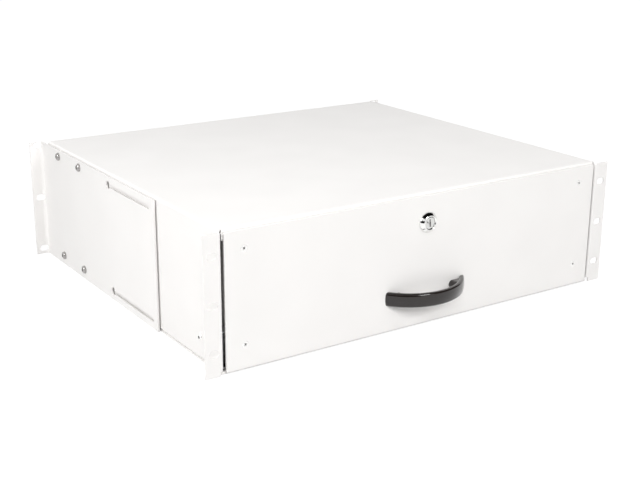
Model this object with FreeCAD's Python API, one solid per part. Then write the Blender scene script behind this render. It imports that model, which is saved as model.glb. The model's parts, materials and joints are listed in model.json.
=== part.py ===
import FreeCAD, Part
import math
import os

# Lockable sliding drawer for a 19-inch rack, three units high, held at all four rack posts.
# Millimetres. X runs across the front, Y from the front into the rack, Z up.
# Heights are written from the bottom of the rack space; save() moves the finished piece so that
# the origin is the centre of the front ears' corner slots, on the ears' front face.

V = FreeCAD.Vector
ACROSS, INWARD, UP = V(1, 0, 0), V(0, 1, 0), V(0, 0, 1)

# Rack standard
UNIT = 44.45
FACE_WIDTH = 482.6
HOLE_SPACING = 465.1
MID_HEIGHT = 1.5 * UNIT
EAR_HEIGHT = 131.0
SLOT_LENGTH, SLOT_HEIGHT = 10.0, 7.0
FRONT_SLOT_HEIGHTS = [UNIT / 2, UNIT * 1.5, UNIT * 2.5]
REAR_SLOT_HEIGHTS = [6.35, MID_HEIGHT, 3 * UNIT - 6.35]

# Sheet metal
SHEET = 1.2
BRACKET_SHEET = 1.5
PANEL_SHEET = 2.0
BEND = 1.5
EAR_BEND = 1.0

# Case
CASE_HALF = 224.5
CASE_TOP = 133.0
CASE_DEPTH = 399.0
WALL_IN = CASE_HALF - SHEET
BOTTOM_FLANGE = 15.0
LIP_Y = 2.6
LIP_BOTTOM = 123.0
REAR_FLANGE = 13.0
BUMPER_X, BUMPER_Z = 150.0, 60.0

# Rear brackets
BRACKET_FRONT = 121.0
BRACKET_REAR = 409.0
BRACKET_GAP = 1.5
BRACKET_BEND = 4.0
BRACKET_OUT = CASE_HALF + BRACKET_GAP + BRACKET_SHEET
BRACKET_SCREW_Y = [300.0, 357.0]
BRACKET_SCREW_Z = [10.8, 124.0]
ADJUST_SLOT = (130.5, 226.5)
ADJUST_SLOT_Z = [9.2, 122.0]

# Telescopic slides: the section is drawn as depth from the case wall and height from the middle
SLIDE_FRONT = 3.5
SLIDE_LENGTH = 300.0
SLIDE_Z = 22.5
SLIDE_DEPTH = 12.7
SLIDE_SHEET = 1.2
OUTER_HALF, OUTER_LIP = 17.5, 9.7
MIDDLE_HALF, MIDDLE_BACK, MIDDLE_LIP = 13.5, 2.2, 10.7
INNER_HALF, INNER_LIP = 9.5, 4.4
BALL_RADIUS = 1.5
BALL_PLAY = 0.1
OUTER_BALL = (6.0, 14.9)
INNER_BALL = (7.5, 10.9)
CAGE_SHEET = 0.5
CAGE_START, CAGE_END = 80.0, 226.0
BALLS_PER_ROW = 3
RIVET_Y = [41.0, 168.0, 264.0]
TRAY_SCREW_Y = [52.0, 148.0, 244.0]

# Drawer
TRAY_HALF = WALL_IN - SLIDE_DEPTH
TRAY_BOTTOM = 3.2
TRAY_FLOOR = TRAY_BOTTOM + SHEET
TRAY_FLANGE = 9.8
TRAY_TOP = 118.0
TRAY_BACK = 388.0
TRAY_HEM = 8.0
PANEL_HALF = 220.5
PANEL_BOTTOM, PANEL_TOP = 2.0, 130.2
PANEL_SCREW_X = 201.0
PANEL_SCREW_Z = [24.5, 113.4]

# Handle
HANDLE_Z = 35.0
HANDLE_HEIGHT = 14.0
HANDLE_HALF = 48.7
HANDLE_REACH = 26.0
HANDLE_BAND = 5.5
HANDLE_CROWN = 0.9
HANDLE_SCREW_X = 38.1

# Cam lock
LOCK_Z = 103.9
BEZEL_RADIUS, BEZEL_FACE_RADIUS, BEZEL_PROUD = 10.3, 7.3, 4.0
BARREL_RADIUS, BARREL_FLAT = 9.3, 8.0
PLUG_RADIUS = 6.2
BARREL_END = 15.8
CAM_Y = 16.4
CAM_SHEET = 2.0
CAM_REACH = 25.0
STRIKE_Y = 14.0
STRIKE_BOTTOM = 119.0


def box(x, y, z):
    """Block between the two ends given along each axis."""
    return Part.makeBox(x[1] - x[0], y[1] - y[0], z[1] - z[0], V(x[0], y[0], z[0]))


def rod(start, axis, radius, length):
    """Round bar from a point along an axis."""
    return Part.makeCylinder(radius, length, V(*start), axis)


def cone(start, axis, radius, end_radius, length):
    """Tapered round bar."""
    return Part.makeCone(radius, end_radius, length, V(*start), axis)


def plate(points, thickness):
    """Flat plate from a closed outline of 3-D points, thickened along a vector."""
    corners = [V(*point) for point in points]
    return Part.Face(Part.makePolygon(corners + corners[:1])).extrude(thickness)


def obround(centre, along, through, length, width, depth):
    """Round-ended bar for slots, centred on a point and running depth along `through`."""
    centre = V(*centre)
    reach = along * ((length - width) / 2)
    side = through.cross(along) * (width / 2)
    ends = [centre - reach, centre + reach]
    tips = [centre - along * (length / 2), centre + along * (length / 2)]
    wire = Part.Wire([
        Part.LineSegment(ends[0] + side, ends[1] + side).toShape(),
        Part.Arc(ends[1] + side, tips[1], ends[1] - side).toShape(),
        Part.LineSegment(ends[1] - side, ends[0] - side).toShape(),
        Part.Arc(ends[0] - side, tips[0], ends[0] + side).toShape(),
    ])
    return Part.Face(wire).extrude(through * depth)


def straight(start, end):
    """Straight edge between two points, or nothing where they coincide."""
    return [Part.LineSegment(start, end).toShape()] if start.distanceToPoint(end) > 1e-6 else []


def bent_sheet(points, thickness, inside_radius, extent):
    """Sheet of even thickness bent along a mid-line, then run out along the vector `extent`."""
    points = [V(*point) for point in points]
    normal = V(extent).normalize()
    runs = [(b - a).normalize() for a, b in zip(points, points[1:])]
    middle = inside_radius + thickness / 2
    edges = []
    caps = []
    for side in (1, -1):
        at = points[0] + normal.cross(runs[0]) * (side * thickness / 2)
        caps.append([at])
        for corner, before, after in zip(points[1:], runs, runs[1:]):
            turn = before.getAngle(after)
            hand = 1 if normal.dot(before.cross(after)) > 0 else -1
            back = middle * math.tan(turn / 2)
            centre = corner - before * back + normal.cross(before) * (hand * middle)
            radius = middle - side * hand * thickness / 2
            spokes = [corner - before * back - centre, corner - centre, corner + after * back - centre]
            first, halfway, last = [centre + spoke.normalize() * radius for spoke in spokes]
            edges += straight(at, first)
            edges.append(Part.Arc(first, halfway, last).toShape())
            at = last
        end = points[-1] + normal.cross(runs[-1]) * (side * thickness / 2)
        edges += straight(at, end)
        caps[-1].append(end)
    for left, right in zip(*caps):
        edges += straight(left, right)
    wire = Part.Wire(Part.__sortEdges__(edges))
    return Part.Face(wire).extrude(extent)


def join(shapes):
    """One clean solid from touching shapes."""
    return shapes[0].multiFuse(shapes[1:]).removeSplitter()


def carve(shape, tools):
    """Shape with every tool cut out of it."""
    return shape.cut(Part.makeCompound(tools)).removeSplitter()


def mirrored(shape):
    """The same piece for the other side."""
    return shape.mirror(V(0, 0, 0), ACROSS)


def both_sides(shapes):
    """Shapes with their mirror images."""
    return shapes + [mirrored(shape) for shape in shapes]


def save(name, shape):
    """Write one node, moved to the part's own frame."""
    if isinstance(shape, list):
        shape = Part.makeCompound(shape)
    shape = shape.copy()
    shape.translate(V(0, 0, -MID_HEIGHT))
    for solid in shape.Solids:
        if not solid.isValid():
            print("not valid:", name)
    shape.exportStep("parts/" + name + ".step")


# Case ------------------------------------------------------------------------------------------

def front_ear():
    """Right front ear, folded outward from the side wall, with its three slots."""
    wall_x = CASE_HALF - SHEET / 2
    path = [(FACE_WIDTH / 2, SHEET / 2, 0), (wall_x, SHEET / 2, 0), (wall_x, 3.0, 0)]
    ear = bent_sheet(path, SHEET, EAR_BEND, UP * EAR_HEIGHT)
    relief = CASE_HALF + EAR_BEND + 0.6
    ends = [(-1.0, PANEL_BOTTOM + 2.5), (CASE_TOP - SHEET - BEND - 0.2, EAR_HEIGHT + 1)]
    tools = [box((WALL_IN - 1, relief), (-1, 4), end) for end in ends]
    for height in FRONT_SLOT_HEIGHTS:
        at = (HOLE_SPACING / 2, -1, height)
        tools.append(obround(at, ACROSS, INWARD, SLOT_LENGTH, SLOT_HEIGHT, 4))
    return carve(ear, tools)


def case_shell():
    """Top and both sides in one sheet, with ears, front lip, bottom and rear flanges."""
    side = CASE_HALF - SHEET / 2
    low = SHEET * 1.5
    high = CASE_TOP - SHEET / 2
    foot = CASE_HALF - BOTTOM_FLANGE
    front, rear = 3.0, 394.0
    section = [(foot, front, low), (side, front, low), (side, front, high),
               (-side, front, high), (-side, front, low), (-foot, front, low)]
    wrap = bent_sheet(section, SHEET, BEND, INWARD * (rear - front))
    lip_width = CASE_HALF - SHEET - BEND - 0.2
    lip_start = 5.0
    wrap = carve(wrap, [box((-lip_width - 1, lip_width + 1), (front - 1, lip_start), (high - 1.5, high + 2))])

    lip_mid = LIP_Y + SHEET / 2
    lip_path = [(-lip_width, lip_start, high), (-lip_width, lip_mid, high), (-lip_width, lip_mid, LIP_BOTTOM)]
    lip = bent_sheet(lip_path, SHEET, EAR_BEND, ACROSS * (2 * lip_width))
    wide = WALL_IN - 0.9
    corner = CASE_TOP - SHEET - BEND - 0.3
    mitre = [(-wide, LIP_Y, corner), (wide, LIP_Y, corner),
             (wide - 3.2, LIP_Y, LIP_BOTTOM), (3.2 - wide, LIP_Y, LIP_BOTTOM)]

    rear_mid = CASE_DEPTH - SHEET * 1.5
    flange_end = CASE_TOP - REAR_FLANGE
    top_flange = bent_sheet(
        [(-lip_width, rear, high), (-lip_width, rear_mid, high), (-lip_width, rear_mid, flange_end)],
        SHEET, EAR_BEND, ACROSS * (2 * lip_width))
    side_flange = bent_sheet(
        [(side, rear, 5), (side, rear_mid, 5), (CASE_HALF - REAR_FLANGE, rear_mid, 5)],
        SHEET, EAR_BEND, UP * (CASE_TOP - REAR_FLANGE - 6.5))
    pieces = [wrap, lip, plate(mitre, INWARD * SHEET), top_flange]
    pieces += both_sides([front_ear(), side_flange])

    holes = []
    for y in RIVET_Y:
        holes.append(rod((WALL_IN - 1, y, SLIDE_Z), ACROSS, 2.2, 4))
    for y in BRACKET_SCREW_Y:
        for z in BRACKET_SCREW_Z:
            holes.append(rod((WALL_IN - 1, y, z), ACROSS, 2.7, 4))
    for x, y in pan_rivet_places():
        holes.append(rod((x, y, 0), UP, 1.65, 4))
    for x, z in rear_screw_places():
        holes.append(rod((x, CASE_DEPTH - 5, z), INWARD, 2.0, 6))
    return carve(join(pieces), both_sides(holes))


def pan_rivet_places():
    """Right-hand places of the rivets through the bottom pan."""
    return [(CASE_HALF - 9.0, y) for y in (25.0, 200.0, 375.0)]


def rear_screw_places():
    """Right-hand places of the rear panel's screws."""
    return [(CASE_HALF - 8.0, 30.0), (CASE_HALF - 8.0, 98.0)]


def bottom_pan():
    """Flat base sheet under the side walls' flanges, dimpled for the rivets' flush heads."""
    pan = box((-CASE_HALF, CASE_HALF), (LIP_Y, CASE_DEPTH), (0, SHEET))
    sinks = [cone((x, y, 0), UP, 2.8, 1.65, SHEET) for x, y in pan_rivet_places()]
    return carve(pan, both_sides(sinks))


def pan_rivets():
    """Flush rivets that hold the pan to the flanges."""
    rivets = []
    for x, y in pan_rivet_places():
        head = cone((x, y, 0), UP, 2.75, 1.6, SHEET)
        rivets.append(join([head, rod((x, y, SHEET), UP, 1.6, SHEET)]))
    return both_sides(rivets)


def rear_panel():
    """Closed back, screwed to the case's rear flanges, with two holes for the bumper stems."""
    low, high = SHEET + 0.1, CASE_TOP - 1.0
    panel = box((-CASE_HALF + 1.5, CASE_HALF - 1.5), (CASE_DEPTH - SHEET, CASE_DEPTH), (low, high))
    upright = [edge for edge in panel.Edges if abs(edge.Length - SHEET) < 1e-6]
    panel = panel.makeFillet(3.0, upright)
    holes = [rod((x, CASE_DEPTH - 3, z), INWARD, 2.2, 6) for x, z in rear_screw_places()]
    holes.append(rod((BUMPER_X, CASE_DEPTH - 3, BUMPER_Z), INWARD, 3.0, 6))
    return carve(panel, both_sides(holes))


def rear_bumpers():
    """Push-in rubber buffers that stop the tray at the back."""
    face = TRAY_BACK + 0.2
    base = CASE_DEPTH - SHEET
    bumper = join([
        cone((BUMPER_X, face, BUMPER_Z), INWARD, 5.0, 7.0, base - face),
        rod((BUMPER_X, base, BUMPER_Z), INWARD, 2.95, SHEET + 2.4),
    ])
    return both_sides([bumper])


def pan_head(start, axis, head_radius, head_height, shank_radius, length):
    """Screw: `start` is on the clamped face, the shank runs along `axis` and the head stands behind."""
    start = V(*start)
    head = Part.makeCylinder(head_radius, head_height, start, axis * -1)
    shank = Part.makeCylinder(shank_radius, length, start, axis)
    return join([head, shank])


def rear_panel_screws():
    """Four screws through the rear panel."""
    screws = []
    for x, z in rear_screw_places():
        screws.append(pan_head((x, CASE_DEPTH, z), INWARD * -1, 3.7, 2.2, 1.95, 7))
    return both_sides(screws)


def lock_strike():
    """Angle spot-welded under the top sheet, which the turned cam catches behind."""
    under = CASE_TOP - SHEET
    path = [(-14, STRIKE_Y + SHEET / 2, STRIKE_BOTTOM), (-14, STRIKE_Y + SHEET / 2, under - SHEET / 2),
            (-14, STRIKE_Y + 15, under - SHEET / 2)]
    strike = bent_sheet(path, SHEET, EAR_BEND, ACROSS * 28)
    trims = []
    for sign in (1, -1):
        y, z = STRIKE_Y - 1, STRIKE_BOTTOM - 0.5
        corner = [(sign * 14.5, y, z), (sign * 9.5, y, z), (sign * 14.5, y, z + 5)]
        trims.append(plate(corner, INWARD * 4))
    return carve(strike, trims)


# Rear brackets ---------------------------------------------------------------------------------

def rear_bracket():
    """Right-hand bracket: long plate with two keyhole slots and an ear for the rear post."""
    wall = BRACKET_OUT - BRACKET_SHEET / 2
    ear_y = BRACKET_REAR - BRACKET_SHEET / 2
    path = [(wall, BRACKET_FRONT, 0), (wall, ear_y, 0), (FACE_WIDTH / 2, ear_y, 0)]
    plate_and_ear = bent_sheet(path, BRACKET_SHEET, BRACKET_BEND, UP * EAR_HEIGHT)
    tools = []
    for z in ADJUST_SLOT_Z:
        start, end = ADJUST_SLOT
        tools.append(obround((BRACKET_OUT - 4, (start + end) / 2, z), INWARD, ACROSS, end - start, 4.6, 6))
        tools.append(rod((BRACKET_OUT - 4, end - 1.5, z), ACROSS, 4.2, 6))
    for y in BRACKET_SCREW_Y:
        for z in BRACKET_SCREW_Z:
            tools.append(rod((BRACKET_OUT - 4, y, z), ACROSS, 2.2, 6))
    for z in REAR_SLOT_HEIGHTS:
        at = (HOLE_SPACING / 2, BRACKET_REAR - 4, z)
        tools.append(obround(at, ACROSS, INWARD, SLOT_LENGTH, SLOT_HEIGHT, 6))
    return carve(plate_and_ear, tools)


def bracket_places():
    """Right-hand places of the bracket screws, as (Y, Z)."""
    return [(y, z) for y in BRACKET_SCREW_Y for z in BRACKET_SCREW_Z]


def bracket_screws():
    """Pan-head screws through the brackets into the standoffs."""
    screws = []
    for y, z in bracket_places():
        reach = BRACKET_OUT - WALL_IN - 0.2
        screws.append(pan_head((BRACKET_OUT, y, z), ACROSS * -1, 4.3, 3.0, 1.95, reach))
    return both_sides(screws)


def bracket_standoffs():
    """Threaded standoffs, riveted into the case walls, that hold the brackets clear of the slide rivets."""
    standoffs = []
    for y, z in bracket_places():
        neck = rod((WALL_IN, y, z), ACROSS, 2.65, SHEET)
        collar = rod((CASE_HALF, y, z), ACROSS, 5.5, BRACKET_GAP)
        standoffs.append(join([neck, collar]).cut(rod((WALL_IN - 1, y, z), ACROSS, 2.0, 5)))
    return both_sides(standoffs)


# Slides ----------------------------------------------------------------------------------------

def slide_channel(back, lip, half, start, length, opens_inward=True):
    """Rolled C channel of a right-hand slide; `back` is its web's depth and `lip` its flanges' end."""
    web = back + SLIDE_SHEET / 2 if opens_inward else back - SLIDE_SHEET / 2
    edge = half - SLIDE_SHEET / 2
    section = [(lip, -edge), (web, -edge), (web, edge), (lip, edge)]
    path = [(WALL_IN - depth, start, SLIDE_Z + height) for depth, height in section]
    return bent_sheet(path, SLIDE_SHEET, 0.8, INWARD * length)


def raceways(places, start, length):
    """Round tools that press the balls' tracks into the channels."""
    tools = []
    for depth, height in places:
        for sign in (1, -1):
            at = (WALL_IN - depth, start - 1, SLIDE_Z + sign * height)
            tools.append(rod(at, INWARD, BALL_RADIUS + BALL_PLAY, length + 2))
    return tools


def web_holes(depth, places, radius):
    """Round tools through a slide's web at each Y."""
    return [rod((WALL_IN - depth, y, SLIDE_Z), ACROSS, radius, 4) for y in places]


def slide_outer():
    """Outer member, riveted to the case wall, with spare slots between the rivets."""
    channel = slide_channel(0, OUTER_LIP, OUTER_HALF, SLIDE_FRONT, SLIDE_LENGTH)
    tools = raceways([OUTER_BALL], SLIDE_FRONT, SLIDE_LENGTH)
    tools += web_holes(2.0, RIVET_Y, 2.1)
    for y in RIVET_Y:
        tools.append(obround((WALL_IN - 3, y + 28, SLIDE_Z), INWARD, ACROSS, 12, 4.6, 5))
    return carve(channel, tools)


def slide_middle():
    """Middle member, running in both ball rows, with access holes over the rivets."""
    start, length = SLIDE_FRONT + 1.5, SLIDE_LENGTH - 4
    channel = slide_channel(MIDDLE_BACK, MIDDLE_LIP, MIDDLE_HALF, start, length)
    tools = raceways([OUTER_BALL, INNER_BALL], start, length)
    tools += web_holes(5.0, RIVET_Y, 5.0)
    tools += web_holes(5.0, [104.0, 216.0], 3.0)
    return carve(channel, tools)


def slide_inner():
    """Inner member, screwed to the tray wall."""
    start, length = SLIDE_FRONT + 0.5, SLIDE_LENGTH - 3
    channel = slide_channel(SLIDE_DEPTH, INNER_LIP, INNER_HALF, start, length, opens_inward=False)
    tools = raceways([INNER_BALL], start, length)
    tools += web_holes(14.0, TRAY_SCREW_Y, 2.05)
    for y in TRAY_SCREW_Y:
        tools.append(obround((WALL_IN - 14, y + 24, SLIDE_Z), INWARD, ACROSS, 10, 4.6, 5))
    return carve(channel, tools)


def ball_places(row):
    """Places of the balls in the two tracks of one right-hand cage."""
    depth, height = row
    step = (CAGE_END - CAGE_START - 12) / (BALLS_PER_ROW - 1)
    return [(WALL_IN - depth, CAGE_START + 6 + step * number, SLIDE_Z + sign * height)
            for sign in (1, -1) for number in range(BALLS_PER_ROW)]


def balls(row):
    """The balls of one cage."""
    return [Part.makeSphere(BALL_RADIUS, V(*place)) for place in ball_places(row)]


def cage(row, web, lip):
    """Thin bent strip whose pierced flanges space the balls."""
    edge = row[1]
    section = [(lip, -edge), (web, -edge), (web, edge), (lip, edge)]
    path = [(WALL_IN - depth, CAGE_START, SLIDE_Z + height) for depth, height in section]
    strip = bent_sheet(path, CAGE_SHEET, 0.6, INWARD * (CAGE_END - CAGE_START))
    holes = []
    for x, y, z in ball_places(row):
        holes.append(rod((x, y, z - 1), UP, BALL_RADIUS + BALL_PLAY, 2))
    middle = (CAGE_START + CAGE_END) / 2
    for y in (middle - 42, middle, middle + 42):
        holes.append(obround((WALL_IN - web - 1, y, SLIDE_Z), INWARD, ACROSS, 26, edge, 2))
    return carve(strip, holes)


def slide_rivets():
    """Dome-headed rivets outside the case wall, flush inside the slide."""
    rivets = []
    for y in RIVET_Y:
        dome = cone((CASE_HALF, y, SLIDE_Z), ACROSS, 3.5, 2.2, 1.2)
        shank = rod((WALL_IN - SLIDE_SHEET, y, SLIDE_Z), ACROSS, 2.05, SLIDE_SHEET + SHEET)
        rivets.append(join([dome, shank]))
    return both_sides(rivets)


def slide_buffers():
    """Plastic end buffers at the back of the outer members."""
    rear = SLIDE_FRONT + SLIDE_LENGTH
    block = box((WALL_IN - 8, WALL_IN - SLIDE_SHEET), (rear - 1.7, rear), (SLIDE_Z - 6, SLIDE_Z + 6))
    upright = [edge for edge in block.Edges if abs(edge.Length - 1.7) < 1e-6]
    return both_sides([block.makeFillet(1.5, upright)])


def tray_screws():
    """Low-headed screws from inside the tray into the inner members."""
    inside = TRAY_HALF - SHEET
    screws = []
    for y in TRAY_SCREW_Y:
        screws.append(pan_head((inside, y, SLIDE_Z), ACROSS, 3.8, 1.7, 2.0, 3.6))
    return both_sides(screws)


# Drawer ----------------------------------------------------------------------------------------

def tray_side():
    """Right side of the tray in one sheet: wall, top hem, floor flange and front flange."""
    side = TRAY_HALF - SHEET / 2
    low, high = TRAY_BOTTOM + SHEET / 2, TRAY_TOP - SHEET / 2
    front = PANEL_SHEET + SHEET + BEND
    section = [(TRAY_HALF - TRAY_FLANGE, front, low), (side, front, low),
               (side, front, high), (side - TRAY_HEM, front, high)]
    wall = bent_sheet(section, SHEET, BEND, INWARD * (TRAY_BACK - front))
    face = PANEL_SHEET + SHEET / 2
    flange = bent_sheet([(side, front, 9), (side, face, 9), (TRAY_HALF - 19, face, 9)],
                        SHEET, BEND, UP * (TRAY_TOP - 9 - 3.5))
    holes = [rod((TRAY_HALF - 2, y, SLIDE_Z), ACROSS, 2.2, 4) for y in TRAY_SCREW_Y]
    holes += [rod((PANEL_SCREW_X, 1, z), INWARD, 2.0, 4) for z in PANEL_SCREW_Z]
    return carve(join([wall, flange]), holes)


def tray_base():
    """Floor of the tray, welded on the sides' flanges and folded up behind the front panel."""
    low = TRAY_FLOOR + SHEET / 2
    face = PANEL_SHEET + SHEET / 2
    half = TRAY_HALF - 20
    floor_half = TRAY_HALF - SHEET - BEND
    rear = TRAY_BACK - SHEET - BEND
    front = face + SHEET + BEND
    sill = bent_sheet([(-half, front, low), (-half, face, low), (-half, face, 18)],
                      SHEET, BEND, ACROSS * (2 * half))
    floor = box((-floor_half, floor_half), (front, rear), (TRAY_FLOOR, TRAY_FLOOR + SHEET))
    return join([sill, floor])


def tray_back():
    """Back wall of the tray between the sides, with a hem on top and a flange under the floor."""
    low, high = TRAY_BOTTOM + SHEET / 2, TRAY_TOP - SHEET / 2
    rear = TRAY_BACK - SHEET / 2
    half = TRAY_HALF - TRAY_FLANGE - 0.6
    wide = TRAY_HALF - SHEET - TRAY_HEM
    panel_half = TRAY_HALF - SHEET
    section = [(-half, rear - TRAY_FLANGE, low), (-half, rear, low), (-half, rear, 20)]
    flange = bent_sheet(section, SHEET, BEND, ACROSS * (2 * half))
    section = [(-wide, rear, 20), (-wide, rear, high), (-wide, rear - TRAY_HEM, high)]
    hem = bent_sheet(section, SHEET, BEND, ACROSS * (2 * wide))
    ends = box((-panel_half, panel_half), (TRAY_BACK - SHEET, TRAY_BACK), (TRAY_FLOOR + BEND, TRAY_TOP - 3))
    return join([flange, hem, ends])


def front_panel():
    """Flat front plate with lock, handle and screw holes."""
    panel = box((-PANEL_HALF, PANEL_HALF), (0, PANEL_SHEET), (PANEL_BOTTOM, PANEL_TOP))
    corners = [edge for edge in panel.Edges if abs(edge.Length - PANEL_SHEET) < 1e-6]
    panel = panel.makeFillet(1.0, corners)
    tools = [lock_body(BARREL_RADIUS + 0.1, BARREL_FLAT + 0.1, -1, 4)]
    for x in (-HANDLE_SCREW_X, HANDLE_SCREW_X):
        tools.append(rod((x, -1, HANDLE_Z), INWARD, 2.3, 5))
    sunk = []
    for z in PANEL_SCREW_Z:
        sunk.append(rod((PANEL_SCREW_X, -1, z), INWARD, 2.1, 5))
        sunk.append(cone((PANEL_SCREW_X, 0, z), INWARD, 3.3, 2.1, 1.5))
    return carve(panel, tools + both_sides(sunk))


def panel_screws():
    """Countersunk screws that hold the front panel to the tray's flanges."""
    screws = []
    for z in PANEL_SCREW_Z:
        head = cone((PANEL_SCREW_X, 0.05, z), INWARD, 3.2, 2.0, 1.45)
        screws.append(join([head, rod((PANEL_SCREW_X, 0.05, z), INWARD, 1.95, 8)]))
    return both_sides(screws)


def panel_nuts():
    """Weld nuts on the back of the tray's front flanges."""
    nuts = []
    for z in PANEL_SCREW_Z:
        body = rod((PANEL_SCREW_X, PANEL_SHEET + SHEET, z), INWARD, 3.4, 2.6)
        nuts.append(body.cut(rod((PANEL_SCREW_X, 0, z), INWARD, 2.0, 9)))
    return both_sides(nuts)


def handle():
    """Bow handle: a crowned band with rounded edges, turned on an arc, and a foot at each end."""
    radius = (HANDLE_HALF ** 2 + HANDLE_REACH ** 2) / (2 * HANDLE_REACH)
    centre = V(0, radius - HANDLE_REACH, HANDLE_Z)
    top, bottom = HANDLE_Z + HANDLE_HEIGHT / 2, HANDLE_Z - HANDLE_HEIGHT / 2
    front, shoulder, inside = -HANDLE_REACH, HANDLE_CROWN - HANDLE_REACH, HANDLE_BAND - HANDLE_REACH
    crown = Part.Arc(V(0, shoulder, bottom), V(0, front, HANDLE_Z), V(0, shoulder, top)).toShape()
    corners = [(shoulder, top), (inside, top), (inside, bottom), (shoulder, bottom)]
    flats = Part.makePolygon([V(0, y, z) for y, z in corners])
    section = Part.Face(Part.Wire([crown] + flats.Edges))
    half_turn = math.degrees(math.acos(centre.y / radius)) + 2
    section.rotate(centre, UP, -half_turn)
    band = section.revolve(centre, UP, 2 * half_turn)
    rims = [edge for edge in band.Edges if edge.Curve.TypeId == "Part::GeomCircle"]
    band = band.makeFillet(2.2, rims)

    outside = rod((0, centre.y, bottom), UP, radius - 1.0, HANDLE_HEIGHT)
    feet = []
    for sign in (1, -1):
        at = (sign * (HANDLE_SCREW_X + 0.4), -9.0, HANDLE_Z)
        foot = obround(at, ACROSS, INWARD, 19.0, 8.4, 9.0)
        inner_rim = [edge for edge in foot.Edges if abs(edge.CenterOfMass.y + 9.0) < 1e-6]
        feet.append(foot.makeFillet(1.6, inner_rim).common(outside))
    grip = join([band] + feet)
    front_half = box((-HANDLE_HALF - 5, HANDLE_HALF + 5), (-HANDLE_REACH - 5, 0), (bottom - 5, top + 5))
    grip = grip.common(front_half)
    bores = [rod((x, -8.6, HANDLE_Z), INWARD, 2.0, 10) for x in (-HANDLE_SCREW_X, HANDLE_SCREW_X)]
    return carve(grip, bores)


def handle_screws():
    """Screws from behind the panel into the handle's feet."""
    screws = []
    for x in (-HANDLE_SCREW_X, HANDLE_SCREW_X):
        screws.append(pan_head((x, PANEL_SHEET, HANDLE_Z), INWARD * -1, 4.0, 2.6, 1.95, 10))
    return screws


# Lock ------------------------------------------------------------------------------------------

def lock_body(radius, flat, start, length):
    """Round barrel with a flat on each side."""
    barrel = rod((0, start, LOCK_Z), INWARD, radius, length)
    return barrel.common(box((-flat, flat), (start, start + length), (LOCK_Z - radius, LOCK_Z + radius)))


def turned(profile):
    """Solid of revolution about the lock's axis from (Y, radius) pairs."""
    points = [V(radius, y, LOCK_Z) for y, radius in profile]
    face = Part.Face(Part.makePolygon(points + points[:1]))
    return face.revolve(V(0, 0, LOCK_Z), INWARD, 360)


def lock_housing():
    """Die-cast housing: tapered bezel in front of the panel and a flatted barrel through it."""
    proud = -BEZEL_PROUD
    bezel = turned([(0, 0), (0, BEZEL_RADIUS), (-0.8, BEZEL_RADIUS), (proud + 0.4, BEZEL_FACE_RADIUS + 0.4),
                    (proud, BEZEL_FACE_RADIUS), (proud, 0)])
    barrel = lock_body(BARREL_RADIUS, BARREL_FLAT, 0, BARREL_END)
    bore = turned([(proud - 1, 0), (proud - 1, PLUG_RADIUS + 0.15), (12.0, PLUG_RADIUS + 0.15),
                   (12.0, 5.15), (BARREL_END + 1, 5.15), (BARREL_END + 1, 0)])
    return carve(join([bezel, barrel]), [bore])


def lock_nut():
    """Hexagon nut behind the panel."""
    points = []
    for number in range(6):
        angle = math.radians(60 * number + 30)
        points.append((13.0 * math.cos(angle), PANEL_SHEET, LOCK_Z + 13.0 * math.sin(angle)))
    nut = plate(points, INWARD * 3.6)
    return carve(nut, [lock_body(BARREL_RADIUS + 0.05, BARREL_FLAT + 2, 0, 9)])


def lock_plug():
    """Turning plug with its key slot, a stepped stem and the square that drives the cam."""
    front = 0.5 - BEZEL_PROUD
    plug = turned([(front, 0), (front, PLUG_RADIUS - 0.3), (front + 0.3, PLUG_RADIUS), (11.8, PLUG_RADIUS),
                   (11.8, 5.0), (CAM_Y, 5.0), (CAM_Y, 0)])
    square = box((-3.4, 3.4), (CAM_Y, CAM_Y + CAM_SHEET), (LOCK_Z - 3.4, LOCK_Z + 3.4))
    keyway = [
        box((-0.9, 0.5), (front - 1, 9), (LOCK_Z - 0.6, LOCK_Z + 3.8)),
        box((-0.4, 1.0), (front - 1, 9), (LOCK_Z - 3.8, LOCK_Z + 0.6)),
        rod((0, 12.5, LOCK_Z), INWARD, 2.0, 8),
    ]
    return carve(join([plug, square]), keyway)


def lock_cam():
    """Flat cam, lying across when open and turning up behind the strike."""
    near, far = CAM_Y, CAM_SHEET
    hub = rod((0, near, LOCK_Z), INWARD, 8.0, far)
    arm = plate([(0, near, LOCK_Z - 8), (-CAM_REACH + 3, near, LOCK_Z - 6), (-CAM_REACH, near, LOCK_Z - 3.5),
                 (-CAM_REACH, near, LOCK_Z + 3.5), (-CAM_REACH + 3, near, LOCK_Z + 6), (0, near, LOCK_Z + 8)],
                INWARD * far)
    hole = box((-3.45, 3.45), (near - 1, near + far + 1), (LOCK_Z - 3.45, LOCK_Z + 3.45))
    return carve(join([hub, arm]), [hole])


def cam_screw():
    """Screw that holds the cam on the plug's square."""
    start = (0, CAM_Y + CAM_SHEET, LOCK_Z)
    return pan_head(start, INWARD * -1, 4.6, 2.6, 1.95, 5.0)


def build_case():
    """Everything that stays with the rack."""
    save("case_shell", case_shell())
    save("bottom_pan", bottom_pan())
    save("pan_rivets", pan_rivets())
    save("rear_panel", rear_panel())
    save("rear_panel_screws", rear_panel_screws())
    save("rear_bumpers", rear_bumpers())
    save("lock_strike", lock_strike())
    save("bracket_screws", bracket_screws())
    save("bracket_standoffs", bracket_standoffs())
    save("slide_rivets", slide_rivets())
    save("slide_buffers", slide_buffers())


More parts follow.
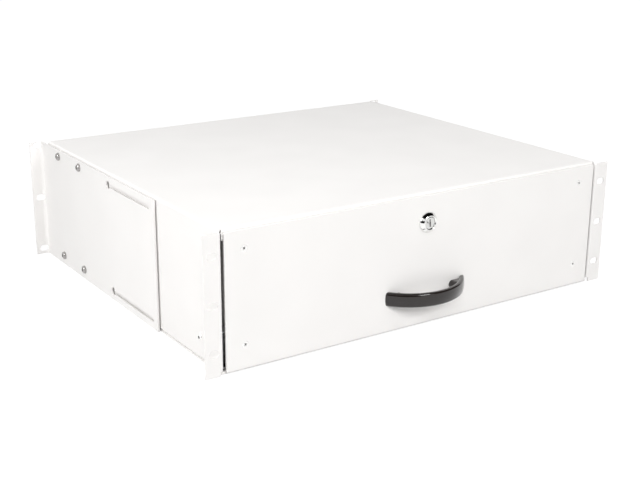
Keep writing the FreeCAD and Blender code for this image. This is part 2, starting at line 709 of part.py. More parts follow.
def build_pairs():
    """Right-hand pieces and their left-hand mirror images."""
    outer_cage = cage(OUTER_BALL, 1.7, 8.2)
    inner_cage = cage(INNER_BALL, 3.9, 9.5)
    pairs = {
        "rear_bracket": rear_bracket(),
        "tray_side": tray_side(),
        "slide_outer": slide_outer(),
        "slide_middle": slide_middle(),
        "slide_inner": slide_inner(),
        "outer_cage": outer_cage,
        "inner_cage": inner_cage,
        "outer_balls": Part.makeCompound(balls(OUTER_BALL)),
        "inner_balls": Part.makeCompound(balls(INNER_BALL)),
    }
    for name, shape in pairs.items():
        save("right_" + name, shape)
        save("left_" + name, mirrored(shape))


def build_drawer():
    """Everything that slides out with the drawer, and the lock."""
    save("tray_base", tray_base())
    save("tray_back", tray_back())
    save("front_panel", front_panel())
    save("panel_screws", panel_screws())
    save("panel_nuts", panel_nuts())
    save("tray_screws", tray_screws())
    save("handle", handle())
    save("handle_screws", handle_screws())
    save("lock_housing", lock_housing())
    save("lock_nut", lock_nut())
    save("lock_plug", lock_plug())
    save("lock_cam", lock_cam())
    save("cam_screw", cam_screw())


os.makedirs("parts", exist_ok=True)
build_case()
build_pairs()
build_drawer()
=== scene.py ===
import json
import math

import bmesh
import bpy
import numpy as np
from mathutils import Matrix, Vector


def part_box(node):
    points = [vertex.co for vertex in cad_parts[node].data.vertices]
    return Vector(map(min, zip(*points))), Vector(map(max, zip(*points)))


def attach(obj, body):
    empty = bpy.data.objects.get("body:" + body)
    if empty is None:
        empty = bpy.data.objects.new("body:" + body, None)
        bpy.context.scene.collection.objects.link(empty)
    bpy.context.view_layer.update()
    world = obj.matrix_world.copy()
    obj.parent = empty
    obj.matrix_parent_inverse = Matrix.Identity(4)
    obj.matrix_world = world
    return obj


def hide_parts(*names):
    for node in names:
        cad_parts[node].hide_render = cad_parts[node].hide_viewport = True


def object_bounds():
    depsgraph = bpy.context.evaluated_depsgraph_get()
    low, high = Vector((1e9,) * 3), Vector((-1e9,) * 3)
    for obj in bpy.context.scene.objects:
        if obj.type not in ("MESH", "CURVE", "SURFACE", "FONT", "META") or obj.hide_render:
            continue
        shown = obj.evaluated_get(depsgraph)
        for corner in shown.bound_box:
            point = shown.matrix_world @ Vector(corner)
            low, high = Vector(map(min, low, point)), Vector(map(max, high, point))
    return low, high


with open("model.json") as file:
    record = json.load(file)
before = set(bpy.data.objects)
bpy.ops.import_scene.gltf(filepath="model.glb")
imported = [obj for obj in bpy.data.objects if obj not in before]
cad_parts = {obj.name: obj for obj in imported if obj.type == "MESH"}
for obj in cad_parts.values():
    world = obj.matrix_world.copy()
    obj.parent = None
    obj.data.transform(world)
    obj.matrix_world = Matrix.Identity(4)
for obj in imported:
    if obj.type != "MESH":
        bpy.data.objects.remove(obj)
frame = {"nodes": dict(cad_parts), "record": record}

CAD_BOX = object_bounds()
MM = 0.001
NODES = frame["nodes"]
BODY_OF = {node: body
           for body, nodes in frame["record"]["behaviour"]["bodies"].items() for node in nodes}
SLOT_OF = {part["node"]: part["material_slot"] for part in frame["record"]["subparts"]}

# Widths of the rounded edges
SHEET_EDGE = 0.25 * MM
FINE_EDGE = 0.12 * MM

# Angles in degrees: a fold past these stays sharp, is bevelled, or isn't merged into a flat face
SHARP_SHEET, SHARP_ROUND, SHARP_SCREW, SHARP_BALL = 50, 32, 35, 60
BEVEL_FROM = 40
FLAT_WITHIN = 0.5

# Points closer than WELD are one, and a ring narrower than ON_AXIS is a single point
WELD = 0.002 * MM
ON_AXIS = 1e-7

# Slides and lock
BALL_PITCH = 5.8 * MM
PLUG_RIM = 5.6 * MM
# Depths behind the plug's face over which shade is painted into the keyway
KEYWAY_FROM, KEYWAY_TO = 0.12 * MM, 0.9 * MM

# Screws, whose shanks are all alike, and rivets
SCREW_SHANK = 1.95 * MM
SCREWS = {
    "bracket_screws": dict(head=4.3 * MM, height=3.0 * MM, length=4.0 * MM, recess=4.6 * MM),
    "rear_panel_screws": dict(head=3.7 * MM, height=2.2 * MM, length=7.0 * MM, recess=4.0 * MM),
    "panel_screws": dict(head=3.2 * MM, height=1.45 * MM, length=8.0 * MM, recess=3.2 * MM, sunk=True),
    "handle_screws": dict(head=4.0 * MM, height=2.6 * MM, length=10.0 * MM, recess=4.4 * MM),
    "cam_screw": dict(head=4.6 * MM, height=2.6 * MM, length=5.0 * MM, recess=4.8 * MM),
    "tray_screws": dict(head=3.8 * MM, height=1.7 * MM, length=3.6 * MM, recess=3.8 * MM),
}
SLIDE_RIVET = dict(head=3.5 * MM, height=1.2 * MM, shank=2.05 * MM, length=2.4 * MM)

# Radius and height down the profile of a flush rivet in the pan
PAN_RIVET = [(0, -0.10 * MM), (1.0 * MM, -0.10 * MM), (1.15 * MM, 0), (2.65 * MM, 0),
             (2.75 * MM, -0.08 * MM), (1.6 * MM, -1.2 * MM), (1.6 * MM, -2.4 * MM), (0, -2.4 * MM)]

# Domed head as shares of its radius and height, and a thread's root and point as shares of its radius
DOME = ((0, 1), (0.35, 0.985), (0.62, 0.93), (0.82, 0.81), (0.94, 0.60), (1.0, 0.34), (1.0, 0))
THREAD_ROOT, THREAD_SHOULDER, THREAD_TIP = 0.88, 0.86, 0.70

# Recess: depth and the radius of its painted shade as shares of its width, where its painted shade starts as
# a share of its depth, and how far down the painted shade reaches
RECESS_DEPTH, RECESS_REACH, RECESS_START = 0.5, 0.36, 0.6
RECESS_MARK = 1.6 * MM

# Wings of the driver tip at its low and its top end, as shares of the recess's width
WING_LENGTH = (0.45, 1.08)
WING_THICKNESS = (0.20, 0.27)
WING_RISE = 0.3 * MM

# Sunk end of a rivet's mandrel as a share of the head's radius
RIVET_HOLE = 0.42

# Floor: its size and gap below the case, its paint for the lamps, and its white for the camera, which
# grows from FLOOR_LIFT to full between the two distances of FLOOR_FADE
FLOOR_SIZE = 12.0
FLOOR_DROP = 0.2 * MM
FLOOR_PAINT = (0.55, 0.55, 0.55, 1)
FLOOR_LIFT = 0.80
FLOOR_WHITE = 1.08
FLOOR_FADE = (0.45, 0.95)

# Lamps, with their spreads in degrees, and the even fill of the world
WORLD_FILL = 0.40
LAMPS = {
    "side_lamp": dict(place=(-1.42, 0.05, 0.66), target=(-0.224, 0.05, 0), size=0.5, spread=90,
                      power=2.8),
    "near_lamp": dict(place=(-1.0, -1.45, 1.3), target=(-0.05, 0, 0), size=0.7, spread=180,
                      power=11.0, mirrored=False),
    "front_lamp": dict(place=(0.1, -1.8, 1.1), target=(-0.1, 0, 0), size=0.7, spread=180,
                       power=20.2),
    "top_lamp": dict(place=(-0.3, -0.3, 1.7), target=(-0.1, 0.08, 0.06), size=0.3, spread=100,
                     power=1.0),
    "right_lamp": dict(place=(1.9, 0.2, 0.3), target=(0.224, 0.2, 0), size=0.5, spread=100,
                       power=2.0, mirrored=False),
    "rear_lamp": dict(place=(-0.1, 2.3, 0.3), target=(0, 0.4, 0), size=0.5, spread=100,
                      power=2.0),
}

# Black cards: the middle of each and its two sides
CARDS = {
    "card_above": dict(middle=(0.22, -0.60, 0.95), across=(2.34, 0, 0), along=(0, 1.1, 0)),
    "card_right": dict(middle=(1.42, 0.15, 0.52), across=(0, 0.9, 0), along=(0, 0, 0.9)),
    "card_near": dict(middle=(0.96, -0.83, 0.5), across=(0.92, 1.05, 0), along=(0, 0, 0.7)),
    "card_left": dict(middle=(-0.50, -0.42, 0.062), across=(0.75, -0.80, 0), along=(0, 0, 0.256)),
}

# Camera, in the frame's metres and degrees
CAMERA_PLACE = Vector((-0.6572, -0.7992, 0.3501))
CAMERA_TURN, CAMERA_DOWN, CAMERA_ROLL = 33.748, 17.843, 0.337
LENS = 63.71


# Shader maths ----------------------------------------------------------------------------------

class Wire:
    """A node's output socket that can be used in sums."""

    def __init__(self, owner, socket):
        self.owner = owner
        self.socket = socket

    def maths(self, operation, first, second=0.0):
        return self.owner.node("ShaderNodeMath", {"operation": operation}, [first, second])

    def __add__(self, other):
        return self.maths("ADD", self, other)

    __radd__ = __add__

    def __sub__(self, other):
        return self.maths("SUBTRACT", self, other)

    def __rsub__(self, other):
        return self.maths("SUBTRACT", other, self)

    def __mul__(self, other):
        return self.maths("MULTIPLY", self, other)

    __rmul__ = __mul__

    def __pow__(self, other):
        return self.maths("POWER", self, other)

    def larger(self, other):
        return self.maths("MAXIMUM", self, other)

    def between(self, low, high):
        """0 below low, 1 above high, and a straight slope between them."""
        inputs = {"Value": self, "From Min": low, "From Max": high}
        return self.owner.node("ShaderNodeMapRange", {"clamp": True}, inputs)


class Tree:
    """A node tree that is filled through one method."""

    def __init__(self, tree):
        self.tree = tree

    def node(self, kind, settings=None, inputs=(), output=0):
        """Add a node with its settings and inputs, and return one of its outputs."""
        node = self.tree.nodes.new(kind)
        for name, value in (settings or {}).items():
            setattr(node, name, value)
        pairs = inputs.items() if isinstance(inputs, dict) else enumerate(inputs)
        for key, value in pairs:
            self.feed(node.inputs[key], value)
        return Wire(self, node.outputs[output])

    def feed(self, socket, value):
        """Link a wire to a socket, or set the socket to a plain value."""
        if isinstance(value, Wire):
            self.tree.links.new(value.socket, socket)
        else:
            socket.default_value = value


class Finish(Tree):
    """A material round one Principled shader, whose varying parts are written as sums of wires."""

    def __init__(self, name, **fixed):
        self.material = bpy.data.materials.new(name)
        self.material.use_nodes = True
        super().__init__(self.material.node_tree)
        self.shader = self.tree.nodes["Principled BSDF"]
        for socket, value in fixed.items():
            self.shader.inputs[socket.replace("_", " ")].default_value = value

    def set(self, name, value):
        self.feed(self.shader.inputs[name], value)

    def place(self, stretch=(1, 1, 1)):
        """Object coordinates, stretched along the axes."""
        where = self.node("ShaderNodeTexCoord", output="Object")
        return self.node("ShaderNodeMapping", None, {"Vector": where, "Scale": stretch})

    def noise(self, size, detail=2.0, stretch=(1, 1, 1), rough=0.5):
        """Cloudy pattern whose blotches are about `size` metres across."""
        inputs = {"Vector": self.place(stretch), "Scale": 1 / size, "Detail": detail, "Roughness": rough}
        return self.node("ShaderNodeTexNoise", None, inputs)

    def cells(self, size, stretch=(1, 1, 1)):
        """Distance to the nearest of the points scattered about `size` metres apart."""
        inputs = {"Vector": self.place(stretch), "Scale": 1 / size}
        return self.node("ShaderNodeTexVoronoi", None, inputs)

    def blend(self, amount, first, second):
        """Colour between two colours, each a plain one or a wire."""
        first, second = (value if isinstance(value, Wire) else (*value, 1) for value in (first, second))
        return self.node("ShaderNodeMix", {"data_type": "RGBA"}, {0: amount, 6: first, 7: second}, output=2)

    def marked(self, name):
        """Mark carried by the mesh itself, from 0 to 1."""
        return self.node("ShaderNodeAttribute", {"attribute_name": name}, output="Fac")

    def emboss(self, height, strength, distance):
        """Relief in the shading from a height between 0 and 1."""
        inputs = {"Height": height, "Strength": strength, "Distance": distance}
        self.set("Normal", self.node("ShaderNodeBump", None, inputs))


# Materials -------------------------------------------------------------------------------------

def powder_coat():
    """White polyester powder coat: satin, with a fine orange-peel skin."""
    coat = Finish("powder_coat", Specular_IOR_Level=0.5)
    peel = coat.noise(1.1 * MM, detail=3.0, rough=0.55)
    drift = coat.noise(60 * MM, detail=1.0)
    fleck = coat.cells(3.5 * MM).between(0.0, 0.12)
    tone = coat.blend(drift.between(0.35, 0.65), (0.862, 0.847, 0.832), (0.878, 0.863, 0.848))
    coat.set("Base Color", tone)
    coat.set("Roughness", 0.40 + 0.10 * peel + 0.03 * fleck)
    coat.emboss(peel, 0.18, 0.04 * MM)
    return coat.material


def zinc_plate():
    """Bright zinc plating on small turned and pressed parts, with painted shade in the marked recesses."""
    zinc = Finish("zinc_plate", Specular_IOR_Level=0.5)
    mottle = zinc.noise(1.6 * MM, detail=3.0)
    recess = zinc.marked("recess")
    tone = zinc.blend(mottle.between(0.3, 0.7), (0.86, 0.85, 0.835), (0.95, 0.945, 0.935))
    # Painted shade in the marked recesses: near black, barely metallic and rougher
    zinc.set("Base Color", zinc.blend(recess, tone, (0.030, 0.029, 0.028)))
    zinc.set("Metallic", 1 - 0.9 * recess)
    zinc.set("Roughness", 0.20 + 0.14 * mottle + 0.45 * recess)
    zinc.emboss(zinc.noise(0.35 * MM, detail=2.0), 0.08, 0.02 * MM)
    return zinc.material


def rolled_strip():
    """Cold-rolled, zinc-plated strip with faint lines along its length."""
    strip = Finish("rolled_strip", Metallic=1.0)
    lines = strip.noise(0.5 * MM, detail=3.0, stretch=(1, 0.02, 1))
    mottle = strip.noise(9 * MM, detail=2.0)
    tone = strip.blend(mottle.between(0.3, 0.7), (0.52, 0.53, 0.55), (0.66, 0.67, 0.68))
    strip.set("Base Color", tone)
    strip.set("Roughness", 0.24 + 0.12 * lines + 0.06 * mottle)
    strip.emboss(lines, 0.12, 0.02 * MM)
    return strip.material


def bright_chrome():
    """Plated die casting of the lock, with the faint waves of polished zinc and painted shade inside the
    keyway.
    """
    low, high = (Vector(corner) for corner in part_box("lock_plug"))
    middle = (low + high) / 2
    chrome = Finish("bright_chrome", Specular_IOR_Level=0.5)
    waves = chrome.noise(4 * MM, detail=1.0)
    where = chrome.node("ShaderNodeTexCoord", output="Object")
    across, depth, height = (chrome.node("ShaderNodeSeparateXYZ", None, [where], output=axis)
                             for axis in range(3))
    radius = ((across - middle.x) ** 2.0 + (height - middle.z) ** 2.0) ** 0.5
    in_plug = 1 - radius.between(PLUG_RIM - 0.2 * MM, PLUG_RIM)
    # Painted shade inside the keyway: dark, barely metallic and rougher behind the plug's face
    keyway_shade = in_plug * depth.between(low.y + KEYWAY_FROM, low.y + KEYWAY_TO)
    plug_radius = high.x - middle.x
    on_plug = 1 - radius.between(plug_radius, plug_radius + 0.1 * MM)
    casting = chrome.blend(waves, (0.80, 0.80, 0.79), (0.88, 0.88, 0.87))
    tone = chrome.blend(on_plug, casting, (0.66, 0.66, 0.65))
    chrome.set("Base Color", chrome.blend(keyway_shade, tone, (0.035, 0.032, 0.028)))
    chrome.set("Metallic", 1 - 0.9 * keyway_shade)
    chrome.set("Roughness", 0.06 + 0.05 * chrome.noise(0.8 * MM) + 0.5 * keyway_shade)
    chrome.emboss(waves, 0.10, 0.05 * MM)
    return chrome.material


def ball_steel():
    """Polished bearing balls under a thin film of grease."""
    steel = Finish("ball_steel", Metallic=1.0)
    film = steel.noise(1.2 * MM, detail=2.0)
    steel.set("Base Color", steel.blend(film, (0.62, 0.61, 0.58), (0.78, 0.78, 0.77)))
    steel.set("Roughness", 0.06 + 0.14 * film)
    return steel.material


def black_plastic():
    """Moulded black plastic with a soft gloss and the faintest grain."""
    plastic = Finish("black_plastic", Specular_IOR_Level=0.1, Coat_Weight=1.0, Coat_Roughness=0.035)
    grain = plastic.noise(0.5 * MM, detail=2.0)
    flow = plastic.noise(18 * MM, detail=1.0)
    plastic.set("Base Color", plastic.blend(flow, (0.008, 0.0055, 0.005), (0.014, 0.0095, 0.008)))
    plastic.set("Roughness", 0.09 + 0.06 * grain + 0.06 * flow)
    plastic.emboss(grain, 0.10, 0.03 * MM)
    return plastic.material


def dark_plate():
    """Dark nickel plating of the bracket screws, with painted shade in their marked cross recesses."""
    plate = Finish("dark_plate", Specular_IOR_Level=0.5)
    mottle = plate.noise(1.0 * MM, detail=2.0)
    recess = plate.marked("recess")
    tone = plate.blend(mottle, (0.34, 0.33, 0.32), (0.46, 0.45, 0.44))
    # Painted shade in the marked cross recess: near black, barely metallic and rougher
    plate.set("Base Color", plate.blend(recess, tone, (0.016, 0.015, 0.015)))
    plate.set("Metallic", 1 - 0.9 * recess)
    plate.set("Roughness", 0.12 + 0.10 * mottle + 0.5 * recess)
    return plate.material


def soft_rubber():
    """Matt black rubber with a dusty bloom."""
    rubber = Finish("soft_rubber", Specular_IOR_Level=0.3)
    bloom = rubber.noise(2.5 * MM, detail=3.0)
    rubber.set("Base Color", rubber.blend(bloom, (0.022, 0.022, 0.022), (0.050, 0.049, 0.048)))
    rubber.set("Roughness", 0.72 + 0.16 * bloom)
    rubber.emboss(bloom, 0.20, 0.05 * MM)
    return rubber.material


FINISHES = {
    "powder_coat": powder_coat(),
    "zinc_steel": zinc_plate(),
    "slide_steel": rolled_strip(),
    "bearing_steel": ball_steel(),
    "lock_chrome": bright_chrome(),
    "black_screw": dark_plate(),
    "handle_black": black_plastic(),
    "rubber": soft_rubber(),
}


# Pieces ----------------------------------------------------------------------------------------

def new_piece(name, mesh, nodes, smooth=None):
    """Shown piece that takes the place, body and finish of the CAD nodes it is drawn over."""
    piece = bpy.data.objects.new(name, mesh)
    bpy.context.scene.collection.objects.link(piece)
    mesh.materials.clear()
    mesh.materials.append(FINISHES[SLOT_OF[nodes[0]]])
    if smooth is not None:
        mesh.shade_smooth()
        mesh.set_sharp_from_angle(angle=math.radians(smooth))
    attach(piece, BODY_OF[nodes[0]])
    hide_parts(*nodes)
    return piece


def merged_copy(node, flatten=True):
    """The node's mesh as one skin, with its loose triangles joined into flat faces if wanted."""
    mesh = NODES[node].data.copy()
    shape = bmesh.new()
    shape.from_mesh(mesh)
    bmesh.ops.remove_doubles(shape, verts=shape.verts, dist=WELD)
    if flatten:
        bmesh.ops.dissolve_limit(shape, angle_limit=math.radians(FLAT_WITHIN), verts=shape.verts,
                                 edges=shape.edges)
    shape.to_mesh(mesh)
    shape.free()
    return mesh


def edged(node, width, steps=2):
    """A cut or pressed piece shown with rounded edges and true flats."""
    piece = new_piece(node + "_finish", merged_copy(node), [node], smooth=SHARP_SHEET)
    bevel = piece.modifiers.new("edges", "BEVEL")
    bevel.width = width
    bevel.segments = steps
    bevel.limit_method = "ANGLE"
    bevel.angle_limit = math.radians(BEVEL_FROM)
    bevel.use_clamp_overlap = True
    flat = piece.modifiers.new("flats", "WEIGHTED_NORMAL")
    flat.keep_sharp = True


def rounded(node):
    """A turned or moulded piece shown with smooth curved faces."""
    new_piece(node + "_finish", merged_copy(node, flatten=False), [node], smooth=SHARP_ROUND)


def islands(node):
    """Low and high corners of each separate solid in a node."""
    mesh = merged_copy(node, flatten=False)
    owner = list(range(len(mesh.vertices)))

    def root(index):
        while owner[index] != index:
            owner[index] = owner[owner[index]]
            index = owner[index]
        return index

    for edge in mesh.edges:
        first, second = (root(index) for index in edge.vertices)
        owner[second] = first
    places = np.array([vertex.co for vertex in mesh.vertices])
    roots = np.array([root(index) for index in range(len(places))])
    bpy.data.meshes.remove(mesh)
    groups = [places[roots == key] for key in sorted(set(roots.tolist()))]
    return [(Vector(group.min(axis=0)), Vector(group.max(axis=0))) for group in groups]


# Fasteners -------------------------------------------------------------------------------------

def lathe(profile, steps=40):
    """Closed turned body about Z from (radius, height) pairs that start and end on the axis."""
    shape = bmesh.new()
    rings = []
    for radius, height in profile:
        count = steps if radius > ON_AXIS else 1
        angles = [2 * math.pi * number / steps for number in range(count)]
        rings.append([shape.verts.new((radius * math.cos(angle), radius * math.sin(angle), height))
                      for angle in angles])
    for lower, upper in zip(rings, rings[1:]):
        for number in range(steps):
            after = (number + 1) % steps
            corners = [lower[number % len(lower)], lower[after % len(lower)],
                       upper[after % len(upper)], upper[number % len(upper)]]
            shape.faces.new(list(dict.fromkeys(corners)))
    bmesh.ops.recalc_face_normals(shape, faces=shape.faces)
    mesh = bpy.data.meshes.new("turned")
    shape.to_mesh(mesh)
    shape.free()
    return mesh


def cross_cutter(across, depth, top):
    """Crossed tapered wings of a driver tip, pointing down from the height `top`."""
    shape = bmesh.new()
    for turn in (0, math.pi / 2):
        block = bmesh.ops.create_cube(shape, size=1.0)["verts"]
        for vert in block:
            end = int(vert.co.z > 0)
            vert.co.x *= across * WING_LENGTH[end]
            vert.co.y *= across * WING_THICKNESS[end]
            vert.co.z = (top - depth, top + WING_RISE)[end]
        bmesh.ops.rotate(shape, verts=block, matrix=Matrix.Rotation(turn, 3, "Z"))
    mesh = bpy.data.meshes.new("cutter")
    shape.to_mesh(mesh)
    shape.free()
    return mesh


def cut_out(mesh, cutter):
    """The first mesh with the second cut out of it."""
    body, tool = (bpy.data.objects.new("work", data) for data in (mesh, cutter))
    for item in (body, tool):
        bpy.context.scene.collection.objects.link(item)
    cut = body.modifiers.new("cut", "BOOLEAN")
    cut.operation = "DIFFERENCE"
    cut.solver = "EXACT"
    cut.use_self = True
    cut.object = tool
    result = bpy.data.meshes.new_from_object(body.evaluated_get(bpy.context.evaluated_depsgraph_get()))
    for item in (body, tool):
        bpy.data.objects.remove(item)
    return result


def threads(radius, length, pitch=0.7 * MM):
    """(radius, height) pairs down a threaded shank, ending on its point."""
    pairs = []
    count = max(int((length - 0.5 * MM) / pitch), 1)
    for number in range(count):
        top = -number * pitch
        pairs += [(radius * THREAD_ROOT, top - 0.2 * pitch), (radius, top - 0.6 * pitch)]
    return pairs + [(radius * THREAD_SHOULDER, -length + 0.3 * MM), (radius * THREAD_TIP, -length),
                    (0, -length)]


def screw_mesh(head, height, shank, length, recess, sunk=False):
    """Cross-recess screw with its seat at height 0: domed pan head, or countersunk when `sunk`."""
    if sunk:
        crown = [(0, 0), (head * 0.96, 0), (head, -0.12 * MM), (shank, -height)]
        body = [(radius, z - height) for radius, z in threads(shank, length - height)]
    else:
        crown = [(head * part, height * rise) for part, rise in DOME]
        crown.append((shank, 0))
        body = threads(shank, length)
    top = 0 if sunk else height
    depth = recess * RECESS_DEPTH
    mesh = cut_out(lathe(crown + body), cross_cutter(recess, depth, top))
    # The cross recess is marked so that its material paints shade into it
    return paint_recess_shade(mesh, recess * RECESS_REACH, top - RECESS_START * depth)


def paint_recess_shade(mesh, reach, below):
    """Mark the points of a head's recess to be painted with shade: within a radius, below a height and not
    far under it.
    """
    mark = mesh.attributes.new("recess", "FLOAT", "POINT")
    lowest = below - RECESS_MARK
    for number, vertex in enumerate(mesh.vertices):
        mark.data[number].value = float(vertex.co.xy.length < reach and lowest < vertex.co.z < below)
    return mesh


def rivet_mesh(head, height, shank, length):
    """Blind rivet: flat dome with the small sunk end of its mandrel."""
    hole = RIVET_HOLE * head
    crown = [(0, height * 0.62), (hole * 0.8, height * 0.62), (hole, height * 0.66), (hole, height * 0.99),
             (head * 0.45, height), (head * 0.70, height * 0.86), (head * 0.90, height * 0.52),
             (head, height * 0.12), (head, 0), (shank, 0), (shank, -length), (0, -length)]
    # The sunk end of the mandrel is marked so that its material paints shade into it
    return paint_recess_shade(lathe(crown), 1.02 * hole, 0.9 * height)


def geometry_group(name, inputs):
    """Geometry node group with named inputs, and a function that gives the wire of an input."""
    group = bpy.data.node_groups.new(name, "GeometryNodeTree")
    for label, kind in inputs.items():
        group.interface.new_socket(label, in_out="INPUT", socket_type="NodeSocket" + kind)
    group.interface.new_socket("Result", in_out="OUTPUT", socket_type="NodeSocketGeometry")
    nodes = Tree(group)

    def given(label):
        return nodes.node("NodeGroupInput", output=label)

    return nodes, given


def end_group(nodes, given, instances):
    """Make the instances real, give them their material, and end the group."""
    real = nodes.node("GeometryNodeRealizeInstances", None, [instances])
    inputs = {"Geometry": real, "Material": given("Material")}
    painted = nodes.node("GeometryNodeSetMaterial", None, inputs)
    end = nodes.tree.nodes.new("NodeGroupOutput")
    nodes.feed(end.inputs[0], painted)
    return nodes.tree


def scatter_group():
    """Node group that sets one template on every point, along the point's own direction."""
    inputs = {"Places": "Geometry", "Template": "Object", "Material": "Material", "Seed": "Int"}
    nodes, given = geometry_group("set_fasteners", inputs)
    shape = nodes.node("GeometryNodeObjectInfo", None, {"Object": given("Template")}, output="Geometry")
    facing = nodes.node("GeometryNodeInputNamedAttribute", {"data_type": "FLOAT_VECTOR"}, {"Name": "facing"})
    aligned = nodes.node("FunctionNodeAlignRotationToVector", {"axis": "Z"}, {"Vector": facing})
    angle = nodes.node("FunctionNodeRandomValue", None, {3: math.tau, "Seed": given("Seed")}, output=1)
    spin = nodes.node("FunctionNodeAxisAngleToRotation", None, {"Angle": angle})
    inputs = {"Rotation": aligned, "Rotate By": spin}
    turned = nodes.node("FunctionNodeRotateRotation", {"rotation_space": "LOCAL"}, inputs)
    inputs = {"Points": given("Places"), "Instance": shape, "Rotation": turned}
    return end_group(nodes, given, nodes.node("GeometryNodeInstanceOnPoints", None, inputs))


def ball_row_group():
    """Node group that sets balls at an even pitch along every line."""
    inputs = {"Lines": "Geometry", "Radius": "Float", "Pitch": "Float", "Material": "Material"}
    nodes, given = geometry_group("set_balls", inputs)
    curve = nodes.node("GeometryNodeMeshToCurve", None, {"Mesh": given("Lines")})
    inputs = {"Curve": curve, "Length": given("Pitch")}
    even = nodes.node("GeometryNodeResampleCurve", {"mode": "LENGTH"}, inputs)
    inputs = {"Segments": 24, "Rings": 12, "Radius": given("Radius")}
    ball = nodes.node("GeometryNodeMeshUVSphere", None, inputs)
    inputs = {"Points": even, "Instance": ball}
    return end_group(nodes, given, nodes.node("GeometryNodeInstanceOnPoints", None, inputs))


def grown_mesh(base, tree, values):
    """Plain mesh grown by a node group from a base mesh, with the group's named inputs set."""
    holder = bpy.data.objects.new("grown", base)
    bpy.context.scene.collection.objects.link(holder)
    grow = holder.modifiers.new("grow", "NODES")
    grow.node_group = tree
    for item in tree.interface.items_tree:
        if item.in_out == "INPUT" and item.name in values:
            grow[item.identifier] = values[item.name]
    bpy.context.view_layer.update()
    mesh = bpy.data.meshes.new_from_object(holder.evaluated_get(bpy.context.evaluated_depsgraph_get()))
    bpy.data.objects.remove(holder)
    return mesh


def seat_of(low, high, facing, height):
    """Point on a fastener's axis where its head meets the sheet."""
    middle = (low + high) / 2
    reach = (high - low) / 2
    tip = sum(abs(part) * half for part, half in zip(facing, reach))
    return middle + facing * (tip - height)


def forward(at):
    return Vector((0, -1, 0))


def rearward(at):
    return Vector((0, 1, 0))


def down(at):
    return Vector((0, 0, -1))


def outward(at):
    """Sideways away from the middle."""
    return Vector((math.copysign(1, at.x), 0, 0))


def inward(at):
    return -outward(at)


# Way that the heads of each node's fasteners face, and the seed for how far each is turned
FASTENERS = {
    "bracket_screws": (outward, 4),
    "rear_panel_screws": (rearward, 7),
    "panel_screws": (forward, 3),
    "handle_screws": (rearward, 5),
    "cam_screw": (rearward, 9),
    "tray_screws": (inward, 2),
    "slide_rivets": (outward, 6),
    "pan_rivets": (down, 8),
}


def fasteners(tree, node, template, height):
    """Detailed fasteners in place of a node's plain ones, whose heads are `height` tall."""
    facing_of, seed = FASTENERS[node]
    spots = [(low, high, facing_of((low + high) / 2)) for low, high in islands(node)]
    base = bpy.data.meshes.new("places")
    base.from_pydata([seat_of(low, high, facing, height) for low, high, facing in spots], [], [])
    facing_data = base.attributes.new("facing", "FLOAT_VECTOR", "POINT")
    for number, (_, _, facing) in enumerate(spots):
        facing_data.data[number].vector = facing
    holder = bpy.data.objects.new("template", template)
    bpy.context.scene.collection.objects.link(holder)
    values = {"Template": holder, "Material": FINISHES[SLOT_OF[node]], "Seed": seed}
    mesh = grown_mesh(base, tree, values)
    bpy.data.objects.remove(holder)
    new_piece(node + "_finish", mesh, [node], smooth=SHARP_SCREW)


def ball_rows(tree, node):
    """Full rows of balls between the first and last ball of each of a node's tracks."""
    spans = islands(node)
    radius = (spans[0][1].x - spans[0][0].x) / 2
    centres = sorted(((low + high) / 2 for low, high in spans), key=lambda at: (round(at.z, 4), at.y))
    half = len(centres) // 2
    ends = [centres[0], centres[half - 1], centres[half], centres[-1]]
    base = bpy.data.meshes.new("tracks")
    base.from_pydata(ends, [(0, 1), (2, 3)], [])
    values = {"Radius": radius, "Pitch": BALL_PITCH, "Material": FINISHES[SLOT_OF[node]]}
    new_piece(node + "_finish", grown_mesh(base, tree, values), [node], smooth=SHARP_BALL)


def make_fasteners():
    """Every screw and rivet in detail. A sunk head is level with its sheet, so it has no height."""
    tree = scatter_group()
    for node, sizes in SCREWS.items():
        height = 0.0 if sizes.get("sunk") else sizes["height"]
        fasteners(tree, node, screw_mesh(shank=SCREW_SHANK, **sizes), height)
    fasteners(tree, "slide_rivets", rivet_mesh(**SLIDE_RIVET), SLIDE_RIVET["height"])
    fasteners(tree, "pan_rivets", lathe(PAN_RIVET), 0.0)


# Camera, light and stage -----------------------------------------------------------------------

def make_camera():
    turn, down, roll = (math.radians(value) for value in (CAMERA_TURN, CAMERA_DOWN, CAMERA_ROLL))
    look = Vector((math.sin(turn) * math.cos(down), math.cos(turn) * math.cos(down), -math.sin(down)))
    level = look.cross(Vector((0, 0, 1))).normalized()
    upright = level.cross(look)
    right = level * math.cos(roll) + upright * math.sin(roll)
    up = upright * math.cos(roll) - level * math.sin(roll)
    data = bpy.data.cameras.new("camera")
    data.lens = LENS
    data.sensor_width = 36.0
    data.clip_start = 0.01
    data.clip_end = 60.0
    camera = bpy.data.objects.new("camera", data)
    bpy.context.scene.collection.objects.link(camera)
    turned = Matrix((right, up, -look)).transposed().to_4x4()
    camera.matrix_world = Matrix.Translation(CAMERA_PLACE) @ turned
    bpy.context.scene.camera = camera


def soft_lamp(name, place, target, size, spread, power, mirrored=True):
    """Square area lamp that faces a point, with its beam held to a spread in degrees."""
    data = bpy.data.lights.new(name, "AREA")
    data.size = size
    data.spread = math.radians(spread)
    data.energy = power
    lamp = bpy.data.objects.new(name, data)
    bpy.context.scene.collection.objects.link(lamp)
    lamp.visible_glossy = mirrored
    place, target = Vector(place), Vector(target)
    aim = (target - place).to_track_quat("-Z", "Y")
    lamp.matrix_world = Matrix.Translation(place) @ aim.to_matrix().to_4x4()


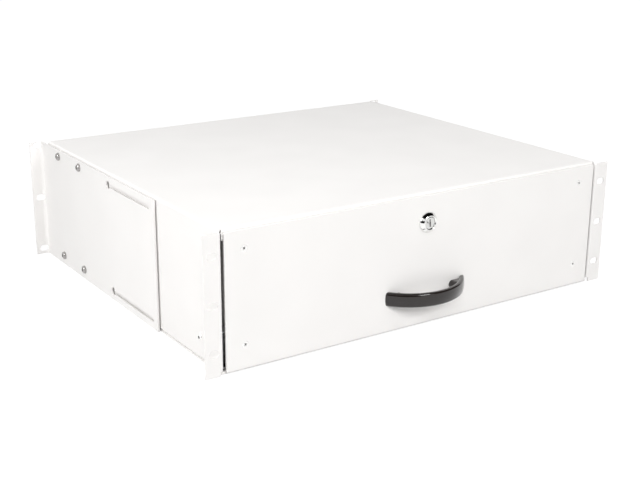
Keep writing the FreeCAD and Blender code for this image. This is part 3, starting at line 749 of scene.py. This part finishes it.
def make_world(fill):
    """White where it is seen, mirrored or seen through, and an even fill everywhere else."""
    world = bpy.data.worlds.new("studio")
    bpy.context.scene.world = world
    world.use_nodes = True
    sky = Tree(world.node_tree)
    seen, glossy, through = (sky.node("ShaderNodeLightPath", output=ray)
                             for ray in ("Is Camera Ray", "Is Glossy Ray", "Is Transmission Ray"))
    back = sky.tree.nodes["Background"]
    back.inputs["Color"].default_value = (1, 1, 1, 1)
    sky.feed(back.inputs["Strength"], fill + (1 - fill) * seen.larger(glossy).larger(through))


def flat_square(name, corners, material):
    """One staged rectangle."""
    mesh = bpy.data.meshes.new(name)
    mesh.from_pydata([tuple(corner) for corner in corners], [], [(0, 1, 2, 3)])
    mesh.materials.append(material)
    piece = bpy.data.objects.new(name, mesh)
    bpy.context.scene.collection.objects.link(piece)
    return piece


def floor_material():
    """Floor that is white but for soft shadow to the camera and mirrors, and grey paint to all else."""
    material = bpy.data.materials.new("pale_floor")
    material.use_nodes = True
    floor = Tree(material.node_tree)
    floor.tree.nodes.remove(floor.tree.nodes["Principled BSDF"])
    where = floor.node("ShaderNodeTexCoord", output="Object")
    reach = floor.node("ShaderNodeVectorMath", {"operation": "LENGTH"}, [where], output="Value")
    lift = FLOOR_LIFT + (1 - FLOOR_LIFT) * reach.between(*FLOOR_FADE)
    grey = floor.node("ShaderNodeCombineColor", None, [FLOOR_WHITE - lift] * 3)
    faint = floor.node("ShaderNodeBsdfDiffuse", None, {"Color": grey})
    glow = floor.node("ShaderNodeEmission", None, {"Strength": lift})
    lifted = floor.node("ShaderNodeAddShader", None, [faint, glow])
    paint = floor.node("ShaderNodeBsdfDiffuse", None, {"Color": FLOOR_PAINT})
    seen, glossy = (floor.node("ShaderNodeLightPath", output=ray)
                    for ray in ("Is Camera Ray", "Is Glossy Ray"))
    mix = floor.node("ShaderNodeMixShader", None, [seen.larger(glossy), paint, lifted])
    floor.feed(floor.tree.nodes["Material Output"].inputs["Surface"], mix)
    return material


def black_card(name, middle, across, along):
    """Black studio card outside the view, which shows in mirrors and casts no shadow."""
    material = bpy.data.materials.get("black_card") or bpy.data.materials.new("black_card")
    material.use_nodes = True
    shader = material.node_tree.nodes["Principled BSDF"]
    shader.inputs["Base Color"].default_value = (0.01, 0.01, 0.01, 1)
    shader.inputs["Roughness"].default_value = 0.9
    shader.inputs["Specular IOR Level"].default_value = 0.0
    middle, across, along = Vector(middle), Vector(across) / 2, Vector(along) / 2
    corners = [middle - across - along, middle + across - along, middle + across + along,
               middle - across + along]
    card = flat_square(name, corners, material)
    card.visible_camera = False
    card.visible_diffuse = False
    card.visible_shadow = False


def make_stage():
    low = CAD_BOX[0][2] - FLOOR_DROP
    half = FLOOR_SIZE / 2
    corners = [(-half, -half, low), (half, -half, low), (half, half, low), (-half, half, low)]
    flat_square("floor", corners, floor_material())
    make_world(WORLD_FILL)
    for name, lamp in LAMPS.items():
        soft_lamp(name, **lamp)
    for name, card in CARDS.items():
        black_card(name, **card)


# Build -----------------------------------------------------------------------------------------

SHEETS = ["case_shell", "bottom_pan", "rear_panel", "left_rear_bracket", "right_rear_bracket",
          "tray_base", "tray_back", "left_tray_side", "right_tray_side", "front_panel", "lock_strike"]
STRIPS = ["left_slide_outer", "right_slide_outer", "left_slide_middle", "right_slide_middle",
          "left_slide_inner", "right_slide_inner", "lock_cam", "lock_nut"]
BALLS = ["left_outer_balls", "right_outer_balls", "left_inner_balls", "right_inner_balls"]

for sheet in SHEETS:
    edged(sheet, SHEET_EDGE)
for strip in STRIPS:
    edged(strip, FINE_EDGE, steps=1)
make_fasteners()
balls = ball_row_group()
for row in BALLS:
    ball_rows(balls, row)
for other in sorted(set(NODES) - set(SHEETS + STRIPS + BALLS) - set(FASTENERS)):
    rounded(other)

make_camera()
make_stage()
bpy.context.scene.view_settings.view_transform = "Standard"
